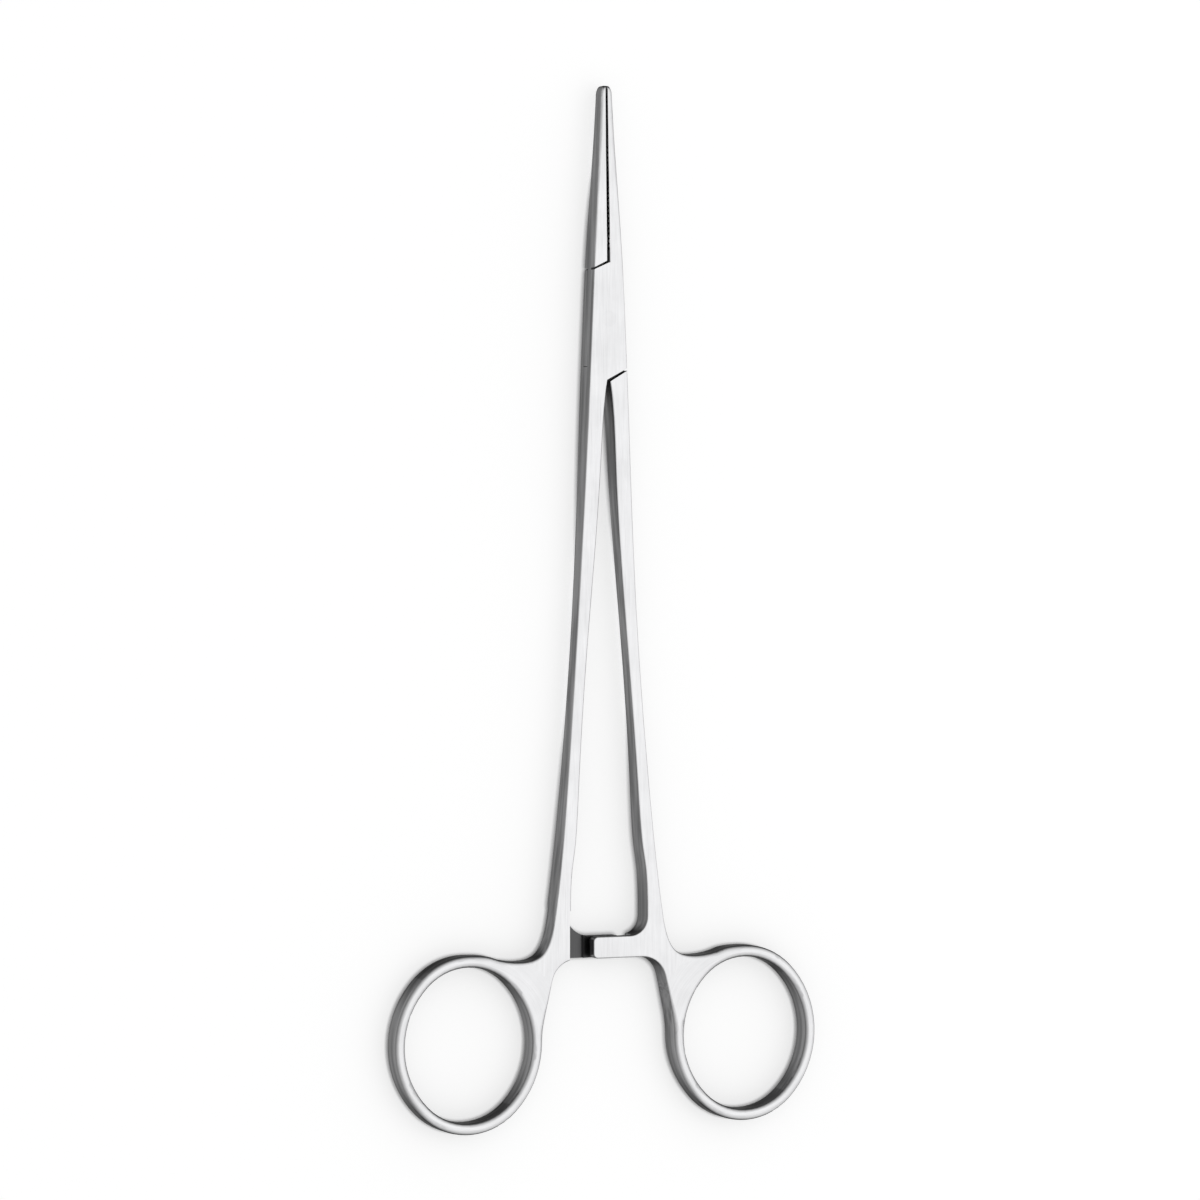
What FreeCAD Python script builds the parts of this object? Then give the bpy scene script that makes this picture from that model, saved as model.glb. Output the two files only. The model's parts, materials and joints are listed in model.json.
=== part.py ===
# Straight artery forceps with finger rings, a box lock and a ratchet.
# They lie flat and closed. Millimetres, Z up, Y towards the jaw tips.
# Each half is drawn about the pin axis at mid thickness, with its shank on +X
# and its jaw on -X. The box half is mirrored afterwards.

import FreeCAD, Part
import math
import os

V = FreeCAD.Vector
DOC = FreeCAD.newDocument("forceps")

# Reach of the jaws and of the ring centres from the pin axis
JAW_REACH = 41.5
RING_DROP = 128.65

# Finger rings
RING_OUT = 26.8
HOLE_WIDE = 24.0
HOLE_TALL = 27.6
RING_WALL = 2.05
RING_ROUND = 0.9

# Thickness, the same at box and rings so that the tool lies flat.
# In pairs, the first number is the share of the way from pin to tip or to arm
BOX_THICK = 4.5
TIP_THICK = 2.6
JAW_THICK = ((0.7, 3.2), (0.395, 4.1))
SHANK_THICK = ((0.303, 3.75), (0.545, 3.1), (0.759, 3.68))
FLAT_ABOVE = 4.0
FLAT_BELOW = 9.0
FLAT_BEFORE_ARM = 6.2

# Half width of the closed pair at the tip, at mid jaw and at the pin
TIP_HALF = 1.22
JAW_MID = (0.395, 2.45)
BOX_HALF = 3.22

# Shank stations: share of the way from pin to arm, outer half spread, width of the bar
SHANK = ((0.128, 3.8, 3.22), (0.259, 4.4, 2.93), (0.523, 5.88, 2.32), (0.787, 7.94, 2.3), (0.896, 9.0, 2.48))
SHANK_END = 2.95

# Web between shank and ring: how far each point lies past the ring's left side,
# and how high above the ring's centre
WEB_FOOT = -2.4
WEB = ((-1.35, 18.2), (0.4, 15.4), (3.65, 14.4), (8.45, 15.0))
FLANK = (-0.95, 6.85)

# Ratchet arms and their teeth
ARM_ABOVE_RING = 2.55
ARM_TALL = 3.85
ARM_PAST = 3.04
ARM_CORNER = 0.85
ARM_FILLET = 3.3
REAR_FILLET = 4.8
ARMPIT = 4.6
ARMPIT_TURN = 76.0
ARMPIT_IN = 6.3
RECESS_SHORT = 4.9
TOOTH_PITCH = 2.05
TOOTH_DEEP = 0.6
TEETH = 4
ARM_CLEAR = 0.06

# Box lock
LOCK_TOP = (10.0, 8.7)
LOCK_BOTTOM = (10.8, 8.8)
LOCK_GAP = 0.36
SLOT_RADIUS = 9.3
SLOT_THICK = 1.6
TENON_CLEAR = 0.04
TENON_END_CLEAR = 0.1
CROTCH_HALF = 0.18
RIVET = 2.2
RIVET_HEAD = 2.9
RIVET_SINK = 0.35
RIVET_CLEAR = 0.04

# Jaws
JAW_GAP_TIP = 0.04
JAW_GAP_ROOT = 0.24
JAW_BEVEL = 0.2
TIP_CORNER = 0.95
TIP_NOSE = 1.5
TIP_ROUND = 0.75
SERRATION_PITCH = 0.9
SERRATION_WIDE = 0.7
SERRATION_DEEP = 0.18
SERRATION_FROM = 12.0
SERRATION_END = 1.6

# Broken edges of the forging
EDGE = 0.25

HALF = BOX_THICK / 2
RING_A = HOLE_WIDE / 2 + RING_WALL
RING_B = HOLE_TALL / 2 + RING_WALL
REACH_BELOW = RING_DROP + RING_B
PIN_Y = (REACH_BELOW - JAW_REACH) / 2
RING_LEFT = RING_OUT - RING_A
ARM_DROP = RING_DROP - RING_B - ARM_ABOVE_RING
ARM_LOW = ARM_DROP + ARM_TALL
SHANK_LOW = ARM_DROP - REAR_FILLET
SHANK_OUT = RING_LEFT + WEB_FOOT
SHANK_IN = SHANK_OUT - SHANK_END
STATIONS = SHANK + ((1, SHANK_OUT, SHANK_END),)


def at(x, y):
    return V(x, y, -HALF)


def line(p, q):
    return Part.LineSegment(p, q)


def smooth(points, start=None, end=None):
    """A curve through points, with its end directions where they are given."""
    curve = Part.BSplineCurve()
    if start is None:
        curve.interpolate(Points=points)
    else:
        curve.interpolate(Points=points, InitialTangent=start, FinalTangent=end)
    return curve


def bend(centre, radius, start, end):
    """An arc about a centre, between two angles in degrees."""
    points = []
    for angle in (start, (start + end) / 2, end):
        a = math.radians(angle)
        points.append(centre + V(radius * math.cos(a), radius * math.sin(a), 0))
    return Part.Arc(*points)


def prism(edges, low=-HALF, high=HALF):
    """The solid between two heights over a closed outline."""
    wire = Part.Wire(Part.__sortEdges__([edge.toShape() for edge in edges]))
    wire.translate(V(0, 0, low + HALF))
    return Part.Face(wire).extrude(V(0, 0, high - low))


def box(x0, x1, y0, y1, z0, z1):
    return Part.makeBox(x1 - x0, y1 - y0, z1 - z0, V(x0, y0, z0))


def outer_curve():
    """Outside of the closed pair on +X, from the jaw tip to the end of the shank."""
    points = [at(TIP_HALF, JAW_REACH - TIP_NOSE), at(JAW_MID[1], JAW_MID[0] * JAW_REACH), at(BOX_HALF, 0)]
    for share, out, wide in STATIONS:
        points.append(at(out, -share * SHANK_LOW))
    return smooth(points, V(0.04, -1, 0), V(0.15, -1, 0))


def inner_curve():
    """Inside of the shank, from the crotch down to the arm."""
    points = [at(CROTCH_HALF, -LOCK_BOTTOM[0])]
    for share, out, wide in STATIONS:
        points.append(at(out - wide, -share * SHANK_LOW))
    return smooth(points, V(0.2, -1, 0), V(0, -1, 0))


def crossing(curve, y):
    """The point where a curve passes a height."""
    hit = curve.intersectCC(line(at(-60, y), at(60, y)))[0]
    return V(hit.X, hit.Y, hit.Z)


def stretch(curve, y_from, y_to):
    """The part of a falling curve between two heights, or from an end of it."""
    a = curve.FirstParameter if y_from is None else curve.parameter(crossing(curve, y_from))
    b = curve.LastParameter if y_to is None else curve.parameter(crossing(curve, y_to))
    piece = curve.copy()
    piece.segment(a, b)
    return piece


def flipped(curve):
    """The same curve on -X."""
    other = curve.copy()
    other.mirror(at(0, 0), V(0, 1, 0))
    return other


def oval(a, b):
    """An upright oval of half sizes a and b about the ring's centre, as arcs from its top clockwise."""
    centre = at(RING_OUT, -RING_DROP)
    shift = (b - a) * (1 + math.sqrt(0.5))
    across = V(shift, 0, 0)
    along = V(0, shift, 0)
    side = a + shift
    end = b - shift
    return [
        bend(centre + along, end, 90, 45),
        bend(centre - across, side, 45, -45),
        bend(centre - along, end, -45, -135),
        bend(centre + across, side, 225, 180),
        bend(centre + across, side, 180, 135),
        bend(centre + along, end, 135, 90),
    ]


def arm_edges(fillet_radius):
    """Ratchet arm from the armpit, round its tip and up to the end of the shank's inside."""
    r = ARM_CORNER
    armpit = bend(at(RING_LEFT - ARMPIT_IN, -ARM_LOW - ARMPIT), ARMPIT, 90 - ARMPIT_TURN, 90)
    lower = bend(at(r - ARM_PAST, r - ARM_LOW), r, 180, 270)
    upper = bend(at(r - ARM_PAST, -ARM_DROP - r), r, 90, 180)
    centre = at(SHANK_IN - fillet_radius, fillet_radius - ARM_DROP)
    fillet = bend(centre, fillet_radius, 270, 360)
    edges = [
        armpit,
        line(armpit.EndPoint, lower.EndPoint),
        lower,
        line(lower.StartPoint, upper.EndPoint),
        upper,
        line(upper.StartPoint, fillet.StartPoint),
        fillet,
    ]
    if fillet_radius < REAR_FILLET:
        edges.append(line(fillet.EndPoint, at(SHANK_IN, -SHANK_LOW)))
    return edges


def beside_ring(past, above):
    """A point given by its place past the ring's left side and above the ring's centre."""
    return at(RING_LEFT + past, above - RING_DROP)


def shank_edges(y_outer, fillet_radius):
    """Plan of the shank, its ring and its arm, open between its two upper ends."""
    outer = stretch(outer_curve(), y_outer, None)
    inner = inner_curve()
    ring = oval(RING_A, RING_B)[:4]
    web = [outer.EndPoint] + [beside_ring(*place) for place in WEB] + [ring[0].StartPoint]
    arm = arm_edges(fillet_radius)
    flank = [arm[0].StartPoint, beside_ring(*FLANK), ring[-1].EndPoint]
    turn = math.radians(ARMPIT_TURN)
    leave = V(math.cos(turn), -math.sin(turn), 0)
    web_edge = smooth(web, V(0.15, -1, 0), V(1, 0, 0))
    flank_edge = smooth(flank, leave, V(0, -1, 0))
    return [outer, web_edge] + ring + [flank_edge] + arm + [inner]


def mating_x(y):
    """Place of the mating face of the -X jaw at a height."""
    open_up = (JAW_GAP_ROOT - JAW_GAP_TIP) / 2
    return -JAW_GAP_TIP / 2 - open_up * (JAW_REACH - y) / (JAW_REACH - LOCK_TOP[0])


def jaw_edges(y_root, y_outer):
    """Plan of the jaw on -X, from its root on the mating side round to its outside."""
    outer = flipped(stretch(outer_curve(), None, y_outer))
    side = outer.StartPoint
    root = at(mating_x(y_root), y_root)
    tip = at(mating_x(JAW_REACH), JAW_REACH)
    flat = at(side.x + TIP_CORNER, JAW_REACH)
    middle = side + V(0.293 * TIP_CORNER, 0.707 * TIP_NOSE, 0)
    corner = smooth([flat, middle, side], V(-1, 0, 0), V(-0.04, -1, 0))
    return [line(root, tip), line(tip, flat), corner, outer]


def jaw_skin(x):
    """Front skin of the jaw seen from the side, from past its tip to the box."""
    points = [V(x, JAW_REACH + 1, TIP_THICK / 2)]
    for share, thick in JAW_THICK:
        points.append(V(x, share * JAW_REACH, thick / 2))
    points.append(V(x, FLAT_ABOVE, HALF))
    return smooth(points, V(0, -1, 0.02), V(0, -1, 0))


def shank_skin(x):
    """Front skin of the shank seen from the side, from the box to the arm."""
    points = [V(x, -FLAT_BELOW, HALF)]
    for share, thick in SHANK_THICK:
        points.append(V(x, -share * SHANK_LOW, thick / 2))
    points.append(V(x, FLAT_BEFORE_ARM - ARM_DROP, HALF))
    return smooth(points, V(0, -1, 0), V(0, -1, 0))


def thickness_body():
    """Side view of the whole tool, extruded across it."""
    x = -RING_OUT - RING_A - 5
    jaw = jaw_skin(x)
    shank = shank_skin(x)
    end = V(x, -REACH_BELOW - 5, HALF)
    top = [jaw, line(jaw.EndPoint, shank.StartPoint), shank, line(shank.EndPoint, end)]
    bottom = []
    for edge in top:
        under = edge.copy()
        under.mirror(V(x, 0, 0), V(0, 1, 0))
        bottom.append(under)
    ends = [line(end, bottom[-1].EndPoint), line(bottom[0].StartPoint, jaw.StartPoint)]
    wire = Part.Wire(Part.__sortEdges__([edge.toShape() for edge in top + bottom + ends]))
    return Part.Face(wire).extrude(V(-2 * x, 0, 0))


def edge_round(p):
    """How far the forged edge is rounded at a point."""
    if p.y > LOCK_TOP[0]:
        share = (p.y - LOCK_TOP[0]) / (JAW_REACH - TIP_NOSE - LOCK_TOP[0])
        return EDGE + (TIP_ROUND - EDGE) * min(1, share)
    if p.x > RING_LEFT - 0.1 and p.y < RING_B + 0.1 - RING_DROP:
        return RING_ROUND
    return EDGE


def is_forged(normal, p):
    """Whether a side wall is forged and rounded, and not a sawn lock or jaw face."""
    lock = abs(p.y) < LOCK_BOTTOM[0] + 1 and abs(normal.y) > 0.5
    mating = abs(p.x) < JAW_GAP_ROOT and LOCK_TOP[0] - 1 < p.y < JAW_REACH - 0.01
    return not lock and not mating


def rounded(body):
    """Rounds the edges between the forged side walls and the front and back skins."""
    chosen = []
    for number, edge in enumerate(body.Edges, 1):
        middle = edge.valueAt((edge.FirstParameter + edge.LastParameter) / 2)
        normals = []
        for face in body.ancestorsOfType(edge, Part.Face):
            u, v = face.Surface.parameter(middle)
            normals.append(face.normalAt(u, v))
        walls = [normal for normal in normals if abs(normal.z) < 0.1]
        if len(walls) == 1 and is_forged(walls[0], middle):
            first = edge_round(edge.Vertexes[0].Point)
            last = edge_round(edge.Vertexes[-1].Point)
            chosen.append((number, first, last))
    base = DOC.addObject("Part::Feature", "base")
    base.Shape = body
    fillet = DOC.addObject("Part::Fillet", "rounded")
    fillet.Base = base
    fillet.Edges = chosen
    DOC.recompute()
    return fillet.Shape


def jaw_bevel():
    """Cutter for the bevel between the front skin and the mating face of the -X jaw."""
    root = LOCK_TOP[0]
    low = jaw_skin(0)
    low.translate(V(0, 0, -JAW_BEVEL))
    lift = V(0, 0, HALF)
    tip, box_end = low.StartPoint, low.EndPoint
    edges = [low, line(box_end, box_end + lift), line(box_end + lift, tip + lift), line(tip + lift, tip)]
    cutter = Part.Face(Part.Wire([edge.toShape() for edge in edges])).extrude(V(-HALF, 0, HALF))
    slant = math.degrees(math.atan2(mating_x(root) - mating_x(JAW_REACH), JAW_REACH - root))
    cutter.rotate(V(0, root, 0), V(0, 0, 1), slant)
    cutter.translate(V(mating_x(root), 0, 0))
    return cutter.common(box(-RING_OUT, 0, root, JAW_REACH + 1, 0, 2 * BOX_THICK))


def bevelled(body):
    """Bevels the front and back edges of the mating face of the -X jaw."""
    front = jaw_bevel()
    return body.cut(front).cut(front.mirror(V(0, 0, 0), V(0, 0, 1)))


def cylinder(radius, low, high):
    return Part.makeCylinder(radius, high - low, V(0, 0, low))


def finger_hole():
    return prism(oval(HOLE_WIDE / 2, HOLE_TALL / 2))


def ratchet_cut(reach):
    """Cutter that leaves the rear half of the arm as far as reach, with its teeth on the front of it."""
    y = -ARM_LOW - ARMPIT
    crest = -ARM_CLEAR
    valley = crest - TOOTH_DEEP
    first = TOOTH_PITCH * TEETH / 2
    points = [V(reach, y, HALF + 1), V(reach, y, valley)]
    for k in range(TEETH):
        points.append(V(first - k * TOOTH_PITCH, y, valley))
        points.append(V(first - k * TOOTH_PITCH, y, crest))
    points.append(V(first - TEETH * TOOTH_PITCH, y, valley))
    points.append(V(first - TEETH * TOOTH_PITCH, y, HALF + 1))
    face = Part.Face(Part.makePolygon(points + [points[0]]))
    return face.extrude(V(0, -SHANK_LOW - y, 0))


def serrations(shift):
    """Cross grooves for the mating face of the -X jaw."""
    grooves = []
    y = SERRATION_FROM + shift
    while y < JAW_REACH - SERRATION_END:
        x = mating_x(y)
        lip = 0.05
        half = SERRATION_WIDE / 2 * (1 + lip / SERRATION_DEEP)
        points = [at(x + lip, y - half), at(x - SERRATION_DEEP, y), at(x + lip, y + half)]
        face = Part.Face(Part.makePolygon(points + [points[0]]))
        grooves.append(face.extrude(V(0, 0, BOX_THICK)))
        y += SERRATION_PITCH
    return Part.makeCompound(grooves)


def rivet_body():
    """Turned pin with its ends spread into the countersinks and ground flush."""
    r = RIVET / 2
    neck = HALF - RIVET_SINK
    points = [V(0, 0, -HALF), V(RIVET_HEAD / 2, 0, -HALF), V(r, 0, -neck)]
    points += [V(r, 0, neck), V(RIVET_HEAD / 2, 0, HALF), V(0, 0, HALF)]
    face = Part.Face(Part.makePolygon(points + [points[0]]))
    return face.revolve(V(0, 0, 0), V(0, 0, 1), 360)


def lock_shift(lock):
    """How far the lock gap moves a slanted joint line along Y."""
    inner, outer = lock
    slant = math.atan2(inner - outer, BOX_HALF)
    return LOCK_GAP / math.cos(slant)


def make_box_half():
    """The half with the slotted box, its rear ratchet arm and the right jaw."""
    shank = shank_edges(LOCK_TOP[1], REAR_FILLET)
    jaw = jaw_edges(LOCK_TOP[0], -LOCK_BOTTOM[1])
    joint_low = line(shank[-1].StartPoint, jaw[-1].EndPoint)
    joint_top = line(jaw[0].StartPoint, shank[0].StartPoint)
    blank = prism(shank + [joint_low] + jaw + [joint_top]).common(thickness_body())
    half = rounded(blank.cut(finger_hole()))
    half = bevelled(half)
    half = half.cut(ratchet_cut(SHANK_IN + EDGE))
    half = half.cut(serrations(SERRATION_PITCH / 2))
    half = half.mirror(V(0, 0, 0), V(1, 0, 0))
    low = -SLOT_THICK / 2
    high = SLOT_THICK / 2
    slot = cylinder(SLOT_RADIUS, low, high)
    slot = slot.fuse(box(-RING_OUT, JAW_GAP_ROOT / 2, 0, LOCK_TOP[0], low, high))
    slot = slot.fuse(box(-CROTCH_HALF, RING_OUT, -LOCK_BOTTOM[0], 0, low, high))
    return half.cut(slot).cut(rivet_body())


def make_tenon_half():
    """The half that passes through the box, with the front ratchet arm and the left jaw."""
    body = thickness_body()
    drop = lock_shift(LOCK_BOTTOM)
    rise = lock_shift(LOCK_TOP)
    shank = shank_edges(-LOCK_BOTTOM[1] - drop, ARM_FILLET)
    shank[-1] = stretch(shank[-1], -LOCK_BOTTOM[0] - drop, None)
    closing = line(shank[-1].StartPoint, shank[0].StartPoint)
    lower = rounded(prism(shank + [closing]).common(body).cut(finger_hole()))
    lower = lower.cut(ratchet_cut(RECESS_SHORT).mirror(V(0, 0, 0), V(0, 0, 1)))
    jaw = jaw_edges(LOCK_TOP[0] + rise, LOCK_TOP[1] + rise)
    closing = line(jaw[-1].EndPoint, jaw[0].StartPoint)
    upper = bevelled(rounded(prism(jaw + [closing]).common(body)))
    upper = upper.cut(serrations(0))
    return lower.fuse([tenon(drop, rise), upper])


def tenon(drop, rise):
    """The thin middle that fills the slot and joins shank to jaw, with its pin hole."""
    high = SLOT_THICK / 2 - TENON_CLEAR
    top = LOCK_TOP[0] + rise
    bottom = LOCK_BOTTOM[0] + drop
    right = stretch(outer_curve(), top, -bottom)
    left = flipped(right)
    caps = [line(right.StartPoint, left.StartPoint), line(right.EndPoint, left.EndPoint)]
    strip = prism([right, caps[1], left, caps[0]], -high, high)
    plan = cylinder(SLOT_RADIUS - TENON_END_CLEAR, -high, high)
    plan = plan.fuse(box(-RING_OUT, -JAW_GAP_ROOT / 2, 0, top, -high, high))
    plan = plan.fuse(box(CROTCH_HALF, RING_OUT, -bottom, 0, -high, high))
    hole = cylinder(RIVET / 2 + RIVET_CLEAR, -HALF, HALF)
    return strip.common(plan).cut(hole)


def save(shape, name):
    solid = shape.Solids[0]
    solid.translate(V(0, PIN_Y, HALF))
    print(name, len(shape.Solids), shape.isValid(), round(shape.Volume, 1))
    solid.exportStep("parts/" + name + ".step")


os.makedirs("parts", exist_ok=True)
save(make_box_half(), "box_half")
save(make_tenon_half(), "tenon_half")
save(rivet_body(), "joint_rivet")
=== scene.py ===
# Looks of a pair of straight artery forceps in satin steel, lying closed on a pale floor.
# Metres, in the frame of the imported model.

import json
import math

import bpy
from mathutils import Matrix, Vector

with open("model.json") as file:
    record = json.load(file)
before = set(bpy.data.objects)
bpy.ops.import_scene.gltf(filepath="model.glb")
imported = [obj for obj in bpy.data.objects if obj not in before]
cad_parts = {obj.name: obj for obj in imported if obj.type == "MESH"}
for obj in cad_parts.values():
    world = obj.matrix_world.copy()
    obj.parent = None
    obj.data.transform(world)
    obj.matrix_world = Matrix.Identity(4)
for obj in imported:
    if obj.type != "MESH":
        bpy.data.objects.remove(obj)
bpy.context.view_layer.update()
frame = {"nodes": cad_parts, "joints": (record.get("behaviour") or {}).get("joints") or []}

PIN = Vector(frame["joints"][0]["pos_m"])

# Camera of the photograph, measured from the hinge pin
VIEW_TURN = math.radians(-23.0)
VIEW_RISE = math.radians(1.126)
VIEW_ROLL = -0.001
VIEW_DISTANCE = 0.8689
VIEW_LENS = 145.9
VIEW_TARGET = PIN + Vector((-0.000821, -0.050172, 0))

# Finger rings: centres, measured from the hinge pin, middle radius of the metal, and the
# radii between which the ground marks turn from going round to going lengthwise
RING_OUT = 0.0268
RING_DROP = 0.12865
RING_RADIUS = 0.014
RING_MARKS_END = 0.0165
LONG_MARKS_START = 0.0185

# Milled recesses of the ratchet arms, where shade is painted: reach to each side, half height, and
# place below the hinge pin
RECESS_REACH = 0.0077
RECESS_HALF = 0.0012
RECESS_LOW = 0.1145
RECESS_HIGH = 0.1054

# Jaws: half width of the bevelled mating faces, where shade is painted, and their start above the
# hinge pin
MATING_HALF = 0.00055
MATING_FROM = 0.0098

# Inside of the box lock, where shade is painted: half height of the hinge part in it, and half
# length
LOCK_HALF = 0.00085
LOCK_REACH = 0.0125

# Width over which one tone passes into the next, in metres
SOFT = 0.0001

# How level a face is, from 0 on an upright wall to 1 on the front or back: where a wall's painted
# shade ends and the front's tone is full, where the painted shade on a mating face fades, and
# where the painted shade of a recess sets in
WALL_LEVEL = 0.5
FRONT_LEVEL = 0.985
MATING_LEVEL = 0.8
MATING_END_LEVEL = 0.95
RECESS_LEVEL = 0.3
RECESS_FULL_LEVEL = 0.5

# How far a wall faces lengthways, from 0 to 1, where its painted shade is that of an end; and a
# small amount that keeps a level face from dividing by zero
END_SHARE = 0.7
LEAST = 0.0001

# Share of the full tone left under painted shade on walls that face sideways and lengthways, on
# the mating faces, and in the recesses and the lock; and how much the walls' streaks vary
SIDE_PAINTED_SHADE = 0.29
END_PAINTED_SHADE = 0.085
STREAK = 0.22
MATING_PAINTED_SHADE = 0.28
RECESS_PAINTED_SHADE = 0.13

# Least tint of the steel where it is seen edge-on, reached where the painted shade is deepest, so
# the edge-on reflection is darkened with it
PAINTED_SHADE_EDGE_TINT = 0.3

# Tone and roughness of the two steels
SATIN_TONE = (0.845, 0.845, 0.855)
SATIN_ROUGH = 0.33
RIVET_TONE = (0.83, 0.83, 0.84)
RIVET_ROUGH = 0.34

# Marks in the steel: the factor on Y that draws them out lengthwise, marks per metre, levels
# of detail, and strength of each finer level. Clouds aren't drawn out.
FINE = (0.02, 9000.0, 3.0, 0.6)
COARSE = (0.06, 2200.0, 2.0, 0.5)
SCRATCHES = (0.012, 4200.0, 1.0, 0.4)
STREAKS = (0.03, 1000.0, 1.0, 0.5)
CLOUDS = (160.0, 3.0, 0.55)
MARK_DEPTH = 0.00002

# Floor: half width, depth below the tool, its own colour, how far the camera and mirrored
# views see it brighter, and how near the tool that brightness fades into a painted contact shadow
FLOOR_HALF = 3.0
FLOOR_DROP = 0.0002
FLOOR_TONE = 0.52
FLOOR_GLOW = 0.61
PAINTED_FLOOR_SHADOW_REACH = 0.0008

# Light of the room, and the direction in which it is brightest
ROOM = 0.82
ROOM_DARK = 0.68
ROOM_SIDE = Vector((0.707, 0.0, 0.707))

# Lamp up to the right: place, size in metres and power in watts
KEY_PLACE = (0.45, 0.0, 0.95)
KEY_SIZE = (0.8, 1.2)
KEY_POWER = 0.75


def link(tree, start, end):
    tree.links.new(start, end)


def node(tree, kind, inputs=(), **settings):
    """A shader node with its settings, and its sockets set or joined to other sockets."""
    made = tree.nodes.new(kind)
    for name, value in settings.items():
        setattr(made, name, value)
    for socket, value in dict(inputs).items():
        if isinstance(value, bpy.types.NodeSocket):
            tree.links.new(value, made.inputs[socket])
        else:
            made.inputs[socket].default_value = value
    return made


def maths(tree, operation, *values):
    """The result of a Math node."""
    return node(tree, "ShaderNodeMath", enumerate(values), operation=operation).outputs[0]


def ramp(tree, value, low, high, to_low=0.0, to_high=1.0):
    """A value carried from one range to another with soft ends."""
    inputs = {0: value, 1: low, 2: high, 3: to_low, 4: to_high}
    made = node(tree, "ShaderNodeMapRange", inputs, interpolation_type="SMOOTHSTEP")
    return made.outputs[0]


def noise(tree, vector, scale, detail, rough):
    """Cloudy noise from 0 to 1."""
    inputs = {"Vector": vector, "Scale": scale, "Detail": detail, "Roughness": rough}
    return node(tree, "ShaderNodeTexNoise", inputs).outputs[0]


def joined(tree, x, y, z):
    """A vector from its three components."""
    return node(tree, "ShaderNodeCombineXYZ", {0: x, 1: y, 2: z}).outputs[0]


def parts_of(tree, vector):
    """The three components of a vector."""
    return node(tree, "ShaderNodeSeparateXYZ", {0: vector}).outputs


def blend(tree, share, low, high):
    """Low where the share is 0 and high where it is 1."""
    inputs = {0: share, 2: low, 3: high}
    return node(tree, "ShaderNodeMix", inputs, data_type="FLOAT").outputs[0]


def brushed_place(tree, place):
    """Coordinates in which the brush marks run along Y, both round the rings and lengthwise."""
    x, y, z = parts_of(tree, place)
    out = maths(tree, "SUBTRACT", maths(tree, "ABSOLUTE", x), RING_OUT)
    down = maths(tree, "SUBTRACT", y, PIN.y - RING_DROP)
    across = maths(tree, "MULTIPLY", out, out)
    square = maths(tree, "ADD", across, maths(tree, "MULTIPLY", down, down))
    radius = maths(tree, "POWER", square, 0.5)
    turn = maths(tree, "MULTIPLY", maths(tree, "ARCTAN2", out, down), RING_RADIUS)
    ringed = joined(tree, radius, turn, z)
    inside = ramp(tree, radius, RING_MARKS_END, LONG_MARKS_START, 1.0, 0.0)
    mix = node(tree, "ShaderNodeMix", data_type="VECTOR")
    link(tree, inside, mix.inputs[0])
    link(tree, place, mix.inputs[4])
    link(tree, ringed, mix.inputs[5])
    return mix.outputs[1]


def within(tree, value, low, high):
    """1 between two limits and 0 beyond them."""
    above = ramp(tree, value, low - SOFT, low)
    below = ramp(tree, value, high, high + SOFT, 1.0, 0.0)
    return maths(tree, "MULTIPLY", above, below)


def tilt(tree):
    """How far a face looks to the front or back, and how far a wall looks to the tool's ends."""
    x, y, z = parts_of(tree, node(tree, "ShaderNodeTexCoord").outputs["Normal"])
    across = maths(tree, "MULTIPLY", x, x)
    along = maths(tree, "MULTIPLY", y, y)
    both = maths(tree, "ADD", maths(tree, "ADD", across, along), LEAST)
    return maths(tree, "ABSOLUTE", z), maths(tree, "DIVIDE", along, both)


def painted_wall_and_jaw_shade(tree, place, streak):
    """Full tone on the ground front and back, painted shade on the streaky walls and on the jaws'
    mating faces.
    """
    x, y = parts_of(tree, place)[:2]
    level, endways = tilt(tree)
    # Painted shade: walls darker than the front by the way they face, darkest where they face the
    # ends
    wall = ramp(tree, endways, 0.0, END_SHARE, SIDE_PAINTED_SHADE, END_PAINTED_SHADE)
    wall = maths(tree, "MULTIPLY", wall, ramp(tree, streak, 0.3, 0.7, 1 - STREAK, 1 + STREAK))
    tone = blend(tree, ramp(tree, level, WALL_LEVEL, FRONT_LEVEL), wall, 1.0)
    # Painted shade on the jaws' bevelled mating faces, darkening the gap between the jaws
    jaw = ramp(tree, y, PIN.y + MATING_FROM, PIN.y + MATING_FROM + SOFT)
    mating = maths(tree, "MULTIPLY", within(tree, x, -MATING_HALF, MATING_HALF), jaw)
    upright = ramp(tree, level, MATING_LEVEL, MATING_END_LEVEL, 1.0, 0.0)
    mating = maths(tree, "MULTIPLY", mating, upright)
    return maths(tree, "MULTIPLY", tone, blend(tree, mating, 1.0, MATING_PAINTED_SHADE))


def painted_recess_and_lock_shade(tree, place):
    """Painted shade on the level faces between the arms and inside the lock."""
    x, y, z = parts_of(tree, place)
    level = tilt(tree)[0]
    depth = maths(tree, "SUBTRACT", z, PIN.z)
    across = within(tree, x, -RECESS_REACH, RECESS_REACH)
    arms = maths(tree, "MULTIPLY", within(tree, depth, -RECESS_HALF, RECESS_HALF), across)
    arms = maths(tree, "MULTIPLY", arms, within(tree, y, PIN.y - RECESS_LOW, PIN.y - RECESS_HIGH))
    lock = within(tree, depth, -LOCK_HALF, LOCK_HALF)
    lock = maths(tree, "MULTIPLY", lock, within(tree, y, PIN.y - LOCK_REACH, PIN.y + LOCK_REACH))
    flat = ramp(tree, level, RECESS_LEVEL, RECESS_FULL_LEVEL)
    # Painted shade on level faces in the recesses between the arms and inside the lock
    share = maths(tree, "MULTIPLY", flat, maths(tree, "MAXIMUM", arms, lock))
    return blend(tree, share, 1.0, RECESS_PAINTED_SHADE)


def stretched(tree, vector, share, scale, detail, rough):
    """Noise drawn out along Y."""
    inputs = {0: vector, 1: (1.0, share, 1.0)}
    place = node(tree, "ShaderNodeVectorMath", inputs, operation="MULTIPLY").outputs[0]
    return noise(tree, place, scale, detail, rough)


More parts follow.
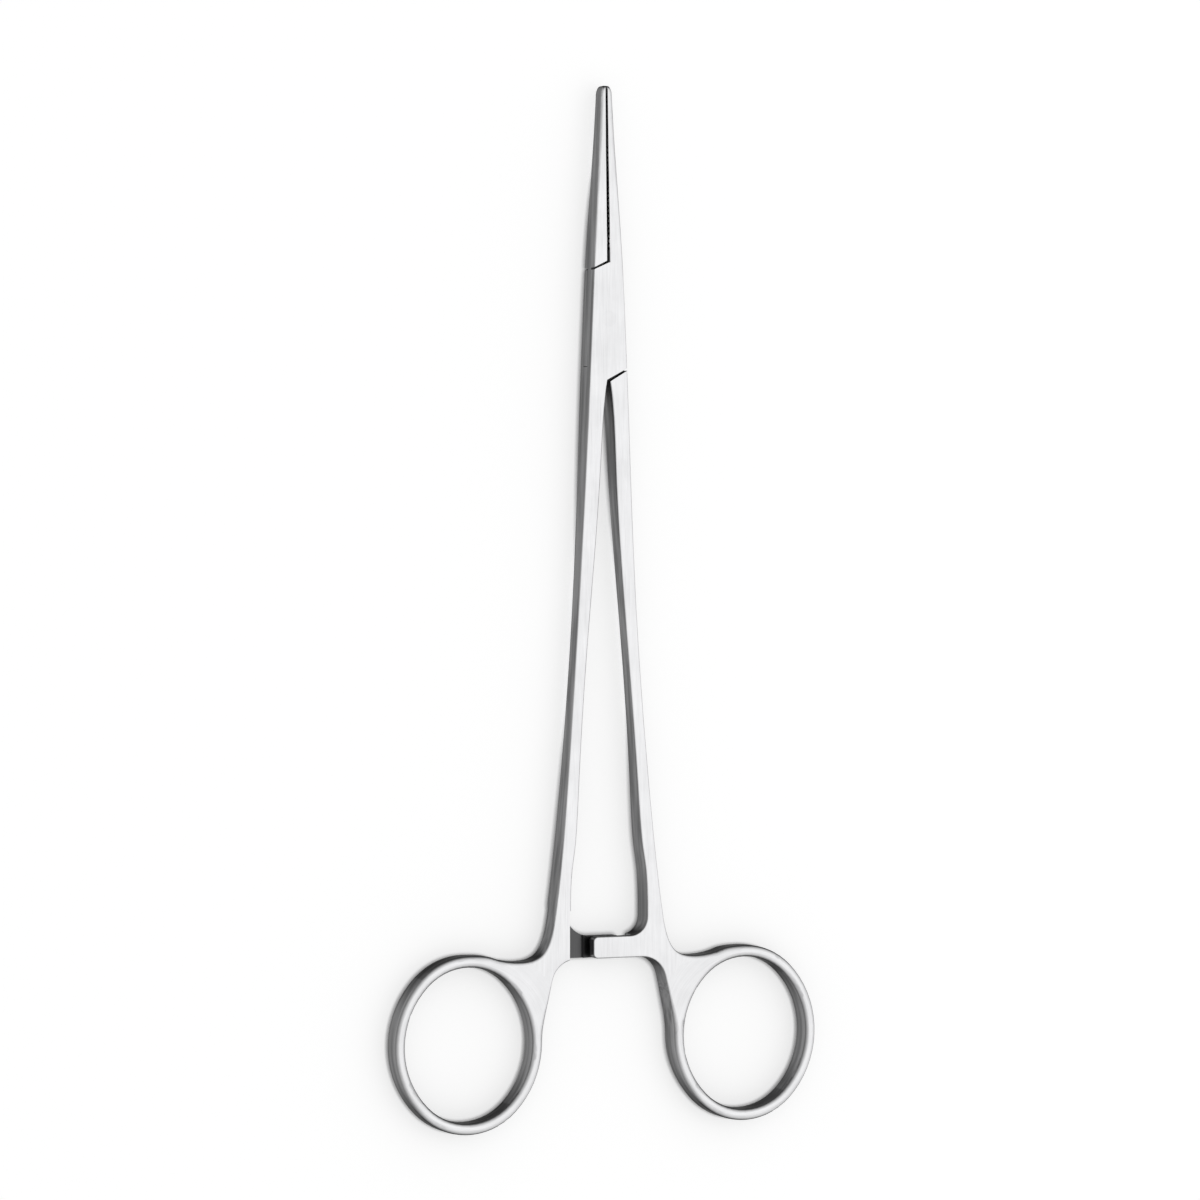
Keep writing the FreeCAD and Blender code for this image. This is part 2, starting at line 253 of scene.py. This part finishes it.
def weighted(tree, base, *pairs):
    """The sum of a number and of some values, each times its weight."""
    total = base
    for value, weight in pairs:
        total = maths(tree, "ADD", maths(tree, "MULTIPLY", value, weight), total)
    return total


def steel(name, tone, rough):
    """Satin ground steel: fine brush marks, soft clouding and a few deeper scratches, with painted
    shade on its walls, jaw faces, recesses and lock.
    """
    material = bpy.data.materials.new(name)
    material.use_nodes = True
    tree = material.node_tree
    shader = tree.nodes["Principled BSDF"]
    shader.inputs["Metallic"].default_value = 1.0
    place = node(tree, "ShaderNodeTexCoord").outputs["Object"]
    along = brushed_place(tree, place)
    fine = stretched(tree, along, *FINE)
    coarse = stretched(tree, along, *COARSE)
    cloud = noise(tree, place, *CLOUDS)
    scratch = ramp(tree, stretched(tree, along, *SCRATCHES), 0.68, 0.76)
    streak = stretched(tree, along, *STREAKS)
    light = weighted(tree, 0.69, (fine, 0.20), (coarse, 0.16), (cloud, 0.24), (scratch, -0.10))
    # Painted shade of the walls, jaw faces, recesses and lock, multiplied into the colour
    share = maths(tree, "MULTIPLY", painted_wall_and_jaw_shade(tree, place, streak), painted_recess_and_lock_shade(tree, place))
    light = maths(tree, "MULTIPLY", light, share)
    colour = node(tree, "ShaderNodeVectorMath", {0: tone, "Scale": light}, operation="SCALE")
    link(tree, colour.outputs[0], shader.inputs["Base Color"])
    # The edge-on tint follows the painted shade, darkening the grazing reflection there too
    edge = weighted(tree, PAINTED_SHADE_EDGE_TINT, (share, 1 - PAINTED_SHADE_EDGE_TINT))
    link(tree, joined(tree, edge, edge, edge), shader.inputs["Specular Tint"])
    roughness = weighted(tree, rough - 0.11, (fine, 0.12), (cloud, 0.10))
    link(tree, roughness, shader.inputs["Roughness"])
    height = weighted(tree, 0.0, (fine, 1.0), (coarse, 0.6), (scratch, -0.5))
    inputs = {"Height": height, "Strength": 0.25, "Distance": MARK_DEPTH}
    bump = node(tree, "ShaderNodeBump", inputs)
    link(tree, bump.outputs[0], shader.inputs["Normal"])
    return material


def dress(name, material):
    """Gives a CAD node its material."""
    piece = frame["nodes"][name]
    piece.data.materials.clear()
    piece.data.materials.append(material)


def floor():
    """A plain pale floor that keeps the object's shadow, with a painted contact shadow where its
    glow fades near the tool.
    """
    mesh = bpy.data.meshes.new("floor")
    size = FLOOR_HALF
    corners = [(-size, -size, 0), (size, -size, 0), (size, size, 0), (-size, size, 0)]
    mesh.from_pydata(corners, [], [(0, 1, 2, 3)])
    plane = bpy.data.objects.new("floor", mesh)
    bpy.context.scene.collection.objects.link(plane)
    plane.location.z = -FLOOR_DROP
    material = bpy.data.materials.new("pale_floor")
    material.use_nodes = True
    tree = material.node_tree
    tree.nodes.clear()
    path = node(tree, "ShaderNodeLightPath").outputs
    seen = maths(tree, "MAXIMUM", path["Is Camera Ray"], path["Is Glossy Ray"])
    seen = maths(tree, "MAXIMUM", seen, path["Is Transmission Ray"])
    matt = node(tree, "ShaderNodeBsdfDiffuse", {"Color": (FLOOR_TONE, FLOOR_TONE, FLOOR_TONE, 1)})
    # Painted contact shadow: the glow fades where ambient occlusion finds the tool close by
    near = node(tree, "ShaderNodeAmbientOcclusion", {"Distance": PAINTED_FLOOR_SHADOW_REACH}, samples=8)
    open_air = maths(tree, "POWER", near.outputs["AO"], 2.0)
    strength = maths(tree, "MULTIPLY", maths(tree, "MULTIPLY", seen, open_air), FLOOR_GLOW)
    glow = node(tree, "ShaderNodeEmission", {"Color": (1, 1, 1, 1), "Strength": strength})
    both = node(tree, "ShaderNodeAddShader", {0: matt.outputs[0], 1: glow.outputs[0]})
    node(tree, "ShaderNodeOutputMaterial", {"Surface": both.outputs[0]})
    mesh.materials.append(material)


def lamp(name, place, size, power, target):
    """A soft rectangular lamp turned towards a point."""
    data = bpy.data.lights.new(name, "AREA")
    data.shape = "RECTANGLE"
    data.size, data.size_y = size
    data.energy = power
    item = bpy.data.objects.new(name, data)
    item.location = place
    item.rotation_euler = (Vector(target) - Vector(place)).to_track_quat("-Z", "Y").to_euler()
    bpy.context.scene.collection.objects.link(item)


def room():
    """Soft light from all round, brightest from the upper right."""
    world = bpy.data.worlds.new("studio")
    world.use_nodes = True
    tree = world.node_tree
    place = node(tree, "ShaderNodeTexCoord").outputs["Generated"]
    inputs = {0: place, 1: tuple(ROOM_SIDE)}
    facing = node(tree, "ShaderNodeVectorMath", inputs, operation="DOT_PRODUCT").outputs["Value"]
    level = ramp(tree, facing, 0.05, 0.8, ROOM_DARK * ROOM, ROOM)
    back = tree.nodes["Background"]
    back.inputs["Color"].default_value = (1, 1, 1, 1)
    link(tree, level, back.inputs["Strength"])
    bpy.context.scene.world = world


def camera():
    """The photograph's camera."""
    rise = math.cos(VIEW_RISE)
    back = Vector((math.sin(VIEW_TURN) * rise, math.sin(VIEW_RISE), math.cos(VIEW_TURN) * rise))
    right = Vector((0, 1, 0)).cross(back).normalized()
    up = back.cross(right)
    side = right * math.cos(VIEW_ROLL) + up * math.sin(VIEW_ROLL)
    top = back.cross(side)
    place = VIEW_TARGET + back * VIEW_DISTANCE
    data = bpy.data.cameras.new("camera")
    data.lens = VIEW_LENS
    data.sensor_width = 36.0
    data.clip_start = 0.05
    item = bpy.data.objects.new("camera", data)
    item.matrix_world = Matrix((
        (side.x, top.x, back.x, place.x),
        (side.y, top.y, back.y, place.y),
        (side.z, top.z, back.z, place.z),
        (0, 0, 0, 1),
    ))
    bpy.context.scene.collection.objects.link(item)
    bpy.context.scene.camera = item


satin = steel("satin_steel", SATIN_TONE, SATIN_ROUGH)
dress("box_half", satin)
dress("tenon_half", satin)
dress("joint_rivet", steel("rivet_steel", RIVET_TONE, RIVET_ROUGH))
floor()
room()
lamp("key", KEY_PLACE, KEY_SIZE, KEY_POWER, (0, 0, 0))
camera()
bpy.context.scene.view_settings.view_transform = "Standard"
